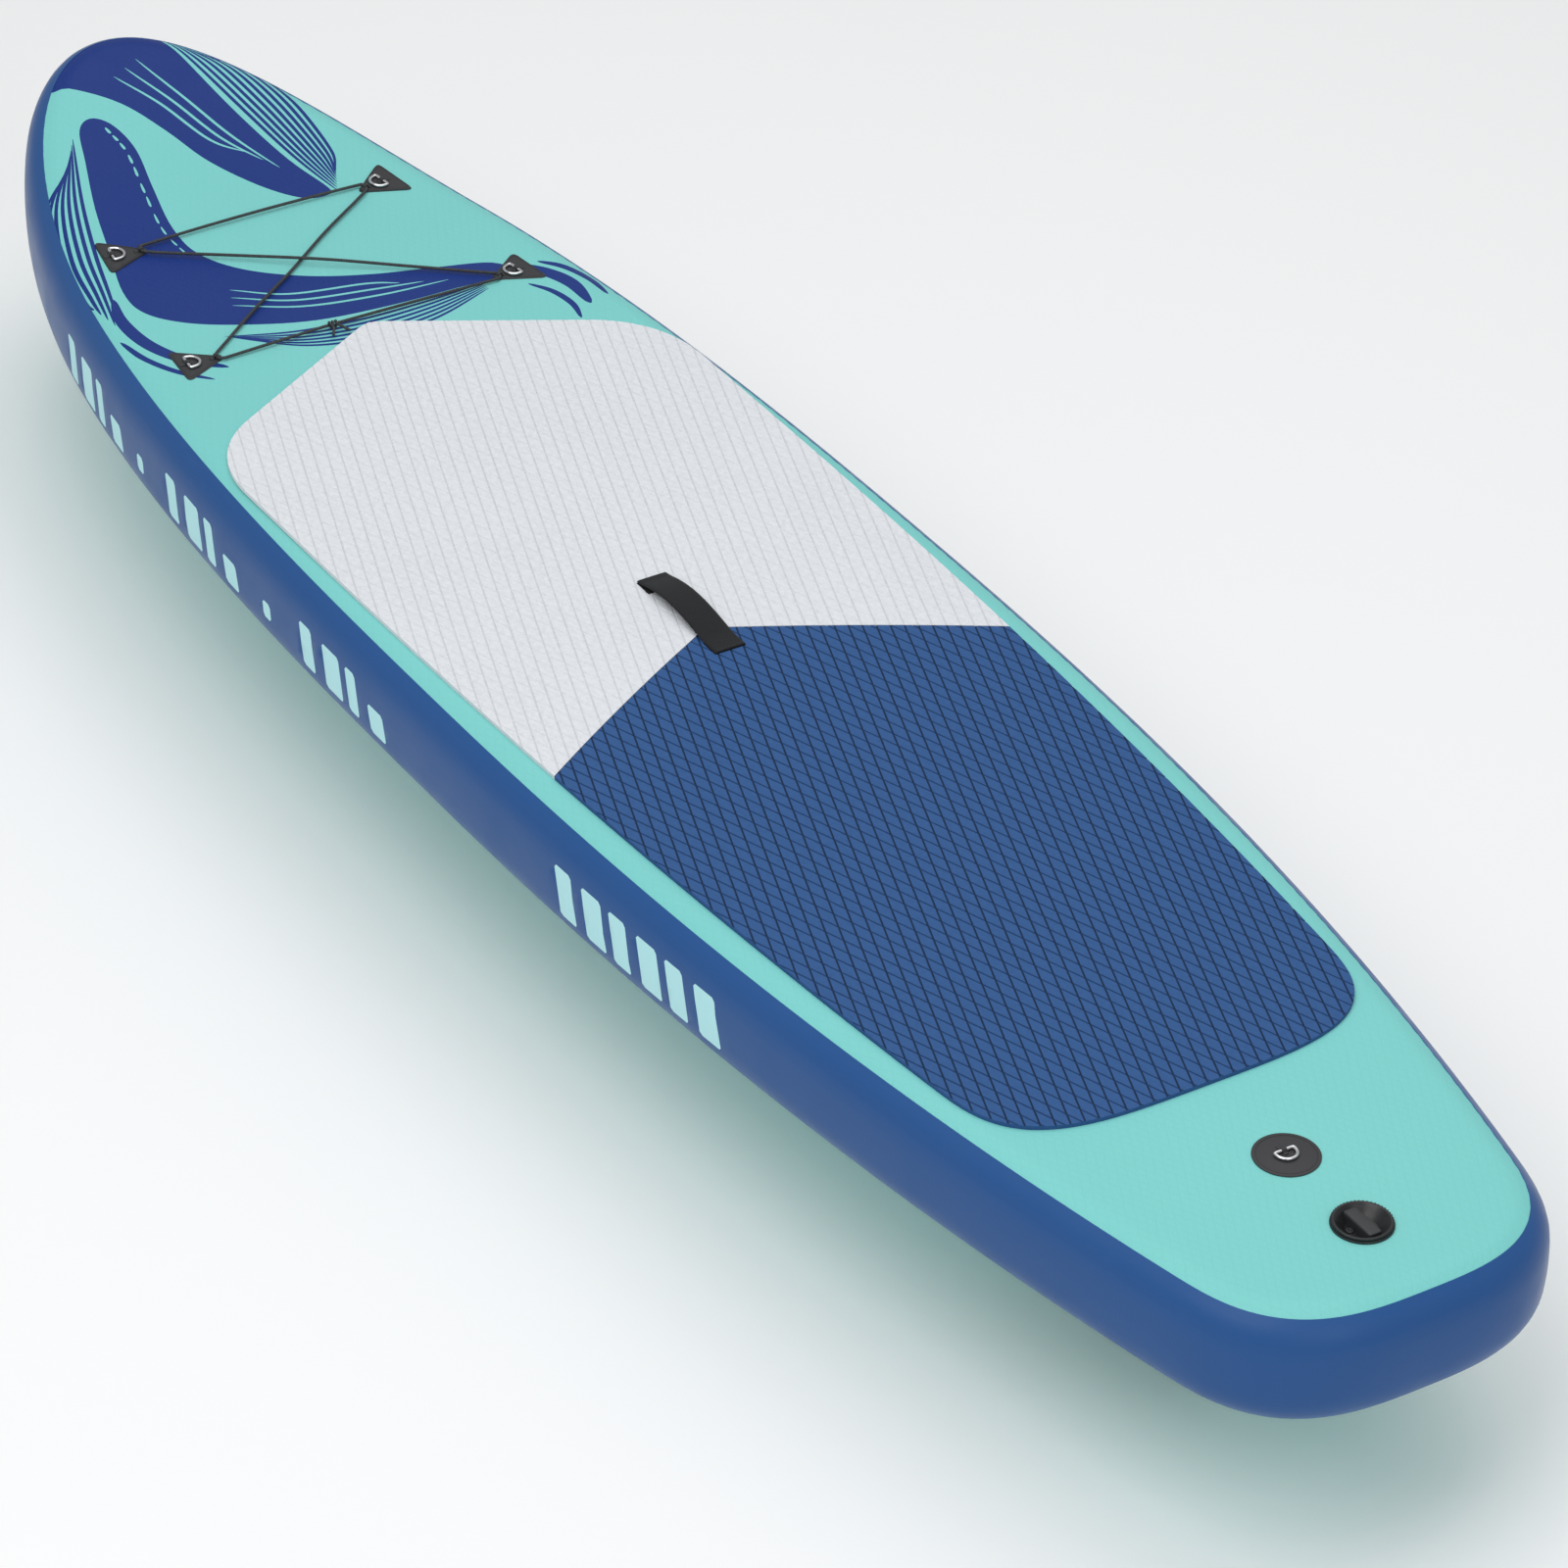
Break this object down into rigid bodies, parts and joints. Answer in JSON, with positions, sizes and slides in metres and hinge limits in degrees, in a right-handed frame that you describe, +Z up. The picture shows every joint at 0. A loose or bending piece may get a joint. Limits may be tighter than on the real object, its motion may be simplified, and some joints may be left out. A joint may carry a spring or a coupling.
{
  "type": "stand up paddleboard",
  "caption": "Inflatable stand up paddleboard with rounded nose and square tail, grooved deck pads, carry handle, bungee, air valve, leash ring and fins.",
  "frame": {"origin": "under the middle of the board, level with the lowest point of its centre fin", "axes": "+X towards the nose, +Y towards the board's left side, +Z up from the deck"},
  "size_m": [3.05, 0.76, 0.4349],
  "materials": {
    "turquoise_pvc": "satin coated cloth",
    "blue_pvc": "satin coated cloth",
    "core_cloth": "woven polyester",
    "grey_foam": "grooved foam",
    "blue_foam": "grooved foam",
    "patch_pvc": "satin coated cloth",
    "webbing": "woven webbing",
    "cord_sheath": "braided sheath",
    "black_plastic": "fine moulded grain",
    "black_rubber": "matte",
    "fin_plastic": "moulded",
    "ring_steel": "polished",
    "spring_steel": "drawn wire",
    "brass": "turned"
  },
  "bodies": {
    "board": {"bottom_skin": "turquoise_pvc", "bungee_cord": "cord_sheath", "bungee_knot": "cord_sheath", "bungee_patch_front_left": "patch_pvc", "bungee_patch_front_right": "patch_pvc", "bungee_patch_rear_left": "patch_pvc", "bungee_patch_rear_right": "patch_pvc", "carry_handle": "webbing", "cord_loop_front_left": "patch_pvc", "cord_loop_front_right": "patch_pvc", "cord_loop_rear_left": "patch_pvc", "cord_loop_rear_right": "patch_pvc", "core_nose_low": "core_cloth", "core_nose_middle": "core_cloth", "core_nose_tip": "core_cloth", "core_tail_left": "core_cloth", "core_tail_right": "core_cloth", "deck_skin": "turquoise_pvc", "drop_stitch_core": "core_cloth", "fin_box": "black_plastic", "front_pad": "grey_foam", "handle_anchor_front": "webbing", "handle_anchor_rear": "webbing", "leash_patch": "patch_pvc", "leash_ring_loop": "patch_pvc", "rail_band_left": "blue_pvc", "rail_band_right": "blue_pvc", "rear_pad": "blue_foam", "ring_loop_front_left": "patch_pvc", "ring_loop_front_right": "patch_pvc", "ring_loop_rear_left": "patch_pvc", "ring_loop_rear_right": "patch_pvc", "side_fin_base_left": "patch_pvc", "side_fin_base_right": "patch_pvc", "side_fin_left": "fin_plastic", "side_fin_right": "fin_plastic", "valve_body": "black_plastic", "valve_nut": "black_plastic", "valve_spring": "spring_steel"},
    "d_ring_front_left": {"d_ring_front_left": "ring_steel"},
    "d_ring_front_right": {"d_ring_front_right": "ring_steel"},
    "d_ring_rear_left": {"d_ring_rear_left": "ring_steel"},
    "d_ring_rear_right": {"d_ring_rear_right": "ring_steel"},
    "leash_ring": {"leash_ring": "ring_steel"},
    "valve_cap_lift": {"cap_seal": "black_rubber"},
    "valve_cap_turn": {"valve_cap": "black_plastic"},
    "valve_stem": {"valve_stem": "black_plastic", "valve_seal": "black_rubber"},
    "centre_fin": {"centre_fin": "fin_plastic", "fin_pin": "brass", "fin_nut": "brass"},
    "fin_screw": {"fin_screw": "ring_steel"}
  },
  "joints": [
    {"name": "d_ring_front_left_hinge", "type": "hinge", "parent": "board", "child": "d_ring_front_left", "pos_m": [1.09158, 0.20918, 0.36849], "axis": [-0.9843, 0.165, -0.0631], "range_deg": [0, 172]},
    {"name": "d_ring_front_right_hinge", "type": "hinge", "parent": "board", "child": "d_ring_front_right", "pos_m": [1.08968, -0.19784, 0.36836], "axis": [0.9843, 0.165, 0.0631], "range_deg": [0, 172]},
    {"name": "d_ring_rear_left_hinge", "type": "hinge", "parent": "board", "child": "d_ring_rear_left", "pos_m": [0.80953, 0.25058, 0.3644], "axis": [-0.9936, 0.1132, 0], "range_deg": [0, 172]},
    {"name": "d_ring_rear_right_hinge", "type": "hinge", "parent": "board", "child": "d_ring_rear_right", "pos_m": [0.80823, -0.23916, 0.3644], "axis": [0.9936, 0.1132, 0], "range_deg": [0, 172]},
    {"name": "leash_ring_hinge", "type": "hinge", "parent": "board", "child": "leash_ring", "pos_m": [-1.236, 0, 0.3644], "axis": [0, 1, 0], "range_deg": [0, 172]},
    {"name": "valve_cap_pull", "type": "slide", "parent": "board", "child": "valve_cap_lift", "axis": [0, 0, 1], "range_m": [0, 0.03]},
    {"name": "valve_cap_twist", "type": "hinge", "parent": "valve_cap_lift", "child": "valve_cap_turn", "pos_m": [-1.381, 0, 0.36], "axis": [0, 0, 1], "range_deg": [0, 90]},
    {"name": "valve_stem_press", "type": "slide", "parent": "board", "child": "valve_stem", "axis": [0, 0, -1], "range_m": [0, 0.005], "stiffness_N_per_m": 400, "springref_m": -0.004, "deforming": ["valve_spring"]},
    {"name": "centre_fin_slide", "type": "slide", "parent": "board", "child": "centre_fin", "axis": [1, 0, 0], "range_m": [-0.02, 0.015]},
    {"name": "fin_screw_turn", "type": "hinge", "parent": "centre_fin", "child": "fin_screw", "pos_m": [-0.986, 0, 0.21], "axis": [0, 0, -1], "range_deg": [0, 720]}
  ]
}
